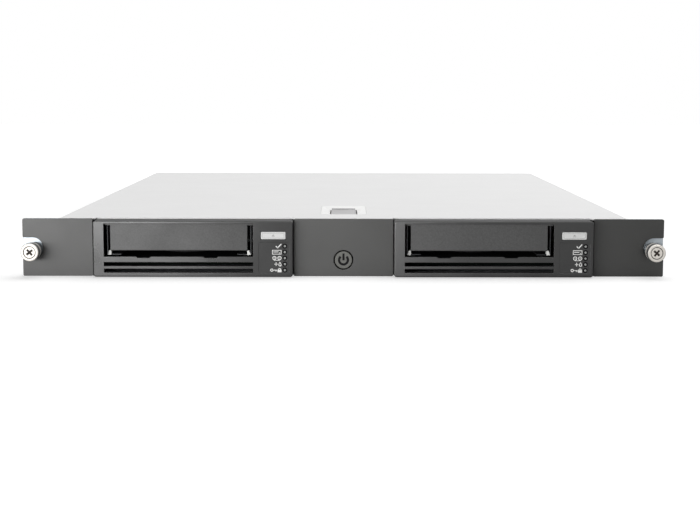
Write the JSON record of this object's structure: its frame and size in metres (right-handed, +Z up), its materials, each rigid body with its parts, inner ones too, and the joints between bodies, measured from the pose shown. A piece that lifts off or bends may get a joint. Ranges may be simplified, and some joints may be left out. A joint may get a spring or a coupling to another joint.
{
  "type": "rack tape drive",
  "caption": "Flat 19-inch rack enclosure with side-by-side cartridge tape drives, flap doors, eject buttons, captive rack screws, a power button and a sliding latched cover.",
  "frame": {"origin": "middle of the floor's underside, on the middle plane and halfway from the front panels to the rear wall", "axes": "+Z up, +Y from the front to the rear, +X to the right as seen from the front"},
  "size_m": [0.4826, 0.621, 0.0434],
  "materials": {
    "tray_steel": "zinc plated, satin",
    "cover_steel": "zinc plated, fine satin grain",
    "latch_tray": "smooth moulded",
    "latch_grey": "fine moulded texture",
    "spring_steel": "bare",
    "panel_grey": "fine powder coat",
    "power_cap": "satin",
    "circuit_board": "dark solder mask",
    "screw_steel": "zinc plated",
    "supply_steel": "zinc plated",
    "socket_black": "satin",
    "pin_brass": "plated",
    "bracket_steel": "bright zinc plated",
    "knob_steel": "nickel plated, satin",
    "fan_black": "moulded",
    "port_steel": "plated",
    "lead_black": "smooth jacket",
    "bezel_grey": "fine moulded texture",
    "door_grey": "fine moulded texture",
    "eject_grey": "satin",
    "lens_clear": "clear, frosted",
    "cast_alloy": "die cast, dark coated",
    "lid_steel": "zinc plated",
    "carriage_steel": "dark coated, satin",
    "motor_steel": "ground",
    "reel_plastic": "smooth",
    "head_alloy": "machined",
    "roller_plastic": "smooth"
  },
  "bodies": {
    "chassis": {"chassis_tray": "tray_steel", "centre_panel": "panel_grey", "power_switch_board": "circuit_board", "drive_screws": "screw_steel", "ear_screws": "screw_steel", "fan_screws": "screw_steel", "power_supply": "supply_steel", "power_inlet": "socket_black", "inlet_pins": "pin_brass", "left_ear_bracket": "bracket_steel", "left_ear_panel": "panel_grey", "left_screw_ferrule": "screw_steel", "left_fan_frame": "fan_black", "left_data_port": "port_steel", "left_loom": "lead_black", "left_bezel": "bezel_grey", "left_light_pipe": "lens_clear", "left_drive_base": "cast_alloy", "left_drive_cover": "lid_steel", "left_main_board": "circuit_board", "left_bay_rails": "tray_steel", "right_ear_bracket": "bracket_steel", "right_ear_panel": "panel_grey", "right_screw_ferrule": "screw_steel", "right_fan_frame": "fan_black", "right_data_port": "port_steel", "right_loom": "lead_black", "right_bezel": "bezel_grey", "right_light_pipe": "lens_clear", "right_drive_base": "cast_alloy", "right_drive_cover": "lid_steel", "right_main_board": "circuit_board", "right_bay_rails": "tray_steel"},
    "cover": {"top_cover": "cover_steel", "latch_housing": "latch_tray", "latch_spring": "spring_steel"},
    "latch": {"latch_button": "latch_grey"},
    "power": {"power_button": "power_cap"},
    "left_washer": {"left_thrust_washer": "screw_steel"},
    "left_screw": {"left_rack_screw": "knob_steel"},
    "left_fan": {"left_fan_rotor": "fan_black"},
    "left_door": {"left_door": "door_grey"},
    "left_eject": {"left_eject_button": "eject_grey"},
    "left_carriage": {"left_carriage": "carriage_steel"},
    "left_motor": {"left_reel_motor": "motor_steel"},
    "left_reel": {"left_takeup_reel": "reel_plastic"},
    "left_head": {"left_head": "head_alloy"},
    "left_front_roller": {"left_front_roller": "roller_plastic"},
    "left_rear_roller": {"left_rear_roller": "roller_plastic"},
    "right_washer": {"right_thrust_washer": "screw_steel"},
    "right_screw": {"right_rack_screw": "knob_steel"},
    "right_fan": {"right_fan_rotor": "fan_black"},
    "right_door": {"right_door": "door_grey"},
    "right_eject": {"right_eject_button": "eject_grey"},
    "right_carriage": {"right_carriage": "carriage_steel"},
    "right_motor": {"right_reel_motor": "motor_steel"},
    "right_reel": {"right_takeup_reel": "reel_plastic"},
    "right_head": {"right_head": "head_alloy"},
    "right_front_roller": {"right_front_roller": "roller_plastic"},
    "right_rear_roller": {"right_rear_roller": "roller_plastic"}
  },
  "joints": [
    {"name": "cover_slide", "type": "slide", "parent": "chassis", "child": "cover", "axis": [0, 1, 0], "range_m": [0, 0.014]},
    {"name": "latch_press", "type": "slide", "parent": "cover", "child": "latch", "axis": [0, 0, -1], "range_m": [0, 0.002], "stiffness_N_per_m": 800, "springref_m": -0.001, "deforming": ["latch_spring"]},
    {"name": "power_press", "type": "slide", "parent": "chassis", "child": "power", "axis": [0, 1, 0], "range_m": [0, 0.0015], "stiffness_N_per_m": 700, "springref_m": -0.0008},
    {"name": "left_screw_push", "type": "slide", "parent": "chassis", "child": "left_washer", "axis": [0, 1, 0], "range_m": [0, 0.005], "stiffness_N_per_m": 300, "springref_m": -0.002},
    {"name": "left_screw_turn", "type": "hinge", "parent": "left_washer", "child": "left_screw", "pos_m": [-0.23255, -0.3, 0.0199], "axis": [0, 1, 0], "continuous": true},
    {"name": "left_fan_spin", "type": "hinge", "parent": "chassis", "child": "left_fan", "pos_m": [-0.095, 0.29, 0.0216], "axis": [0, 1, 0], "continuous": true},
    {"name": "left_door_swing", "type": "hinge", "parent": "chassis", "child": "left_door", "pos_m": [-0.1124, -0.3056, 0.0401], "axis": [1, 0, 0], "range_deg": [0, 85], "stiffness_Nm_per_rad": 0.002, "springref_deg": -17.19},
    {"name": "left_eject_press", "type": "slide", "parent": "chassis", "child": "left_eject", "axis": [0, 1, 0], "range_m": [0, 0.0012], "stiffness_N_per_m": 800, "springref_m": -0.0008},
    {"name": "left_carriage_load", "type": "slide", "parent": "chassis", "child": "left_carriage", "axis": [0, 1, 0], "range_m": [0, 0.018]},
    {"name": "left_motor_spin", "type": "hinge", "parent": "chassis", "child": "left_motor", "pos_m": [-0.1232, -0.2345, 0.0134], "axis": [0, 0, 1], "continuous": true},
    {"name": "left_reel_spin", "type": "hinge", "parent": "chassis", "child": "left_reel", "pos_m": [-0.1244, -0.1413, 0.0134], "axis": [0, 0, 1], "continuous": true},
    {"name": "left_head_step", "type": "slide", "parent": "chassis", "child": "left_head", "axis": [0, 0, 1], "range_m": [-0.003, 0.003]},
    {"name": "left_front_roller_spin", "type": "hinge", "parent": "chassis", "child": "left_front_roller", "pos_m": [-0.0554, -0.2109, 0.02], "axis": [0, 0, 1], "continuous": true},
    {"name": "left_rear_roller_spin", "type": "hinge", "parent": "chassis", "child": "left_rear_roller", "pos_m": [-0.0554, -0.1649, 0.02], "axis": [0, 0, 1], "continuous": true},
    {"name": "right_screw_push", "type": "slide", "parent": "chassis", "child": "right_washer", "axis": [0, 1, 0], "range_m": [0, 0.005], "stiffness_N_per_m": 300, "springref_m": -0.002},
    {"name": "right_screw_turn", "type": "hinge", "parent": "right_washer", "child": "right_screw", "pos_m": [0.23255, -0.3, 0.0199], "axis": [0, 1, 0], "continuous": true},
    {"name": "right_fan_spin", "type": "hinge", "parent": "chassis", "child": "right_fan", "pos_m": [0.095, 0.29, 0.0216], "axis": [0, 1, 0], "continuous": true},
    {"name": "right_door_swing", "type": "hinge", "parent": "chassis", "child": "right_door", "pos_m": [0.1124, -0.3056, 0.0401], "axis": [1, 0, 0], "range_deg": [0, 85], "stiffness_Nm_per_rad": 0.002, "springref_deg": -17.19},
    {"name": "right_eject_press", "type": "slide", "parent": "chassis", "child": "right_eject", "axis": [0, 1, 0], "range_m": [0, 0.0012], "stiffness_N_per_m": 800, "springref_m": -0.0008},
    {"name": "right_carriage_load", "type": "slide", "parent": "chassis", "child": "right_carriage", "axis": [0, 1, 0], "range_m": [0, 0.018]},
    {"name": "right_motor_spin", "type": "hinge", "parent": "chassis", "child": "right_motor", "pos_m": [0.1016, -0.2345, 0.0134], "axis": [0, 0, 1], "continuous": true},
    {"name": "right_reel_spin", "type": "hinge", "parent": "chassis", "child": "right_reel", "pos_m": [0.1004, -0.1413, 0.0134], "axis": [0, 0, 1], "continuous": true},
    {"name": "right_head_step", "type": "slide", "parent": "chassis", "child": "right_head", "axis": [0, 0, 1], "range_m": [-0.003, 0.003]},
    {"name": "right_front_roller_spin", "type": "hinge", "parent": "chassis", "child": "right_front_roller", "pos_m": [0.1694, -0.2109, 0.02], "axis": [0, 0, 1], "continuous": true},
    {"name": "right_rear_roller_spin", "type": "hinge", "parent": "chassis", "child": "right_rear_roller", "pos_m": [0.1694, -0.1649, 0.02], "axis": [0, 0, 1], "continuous": true}
  ]
}
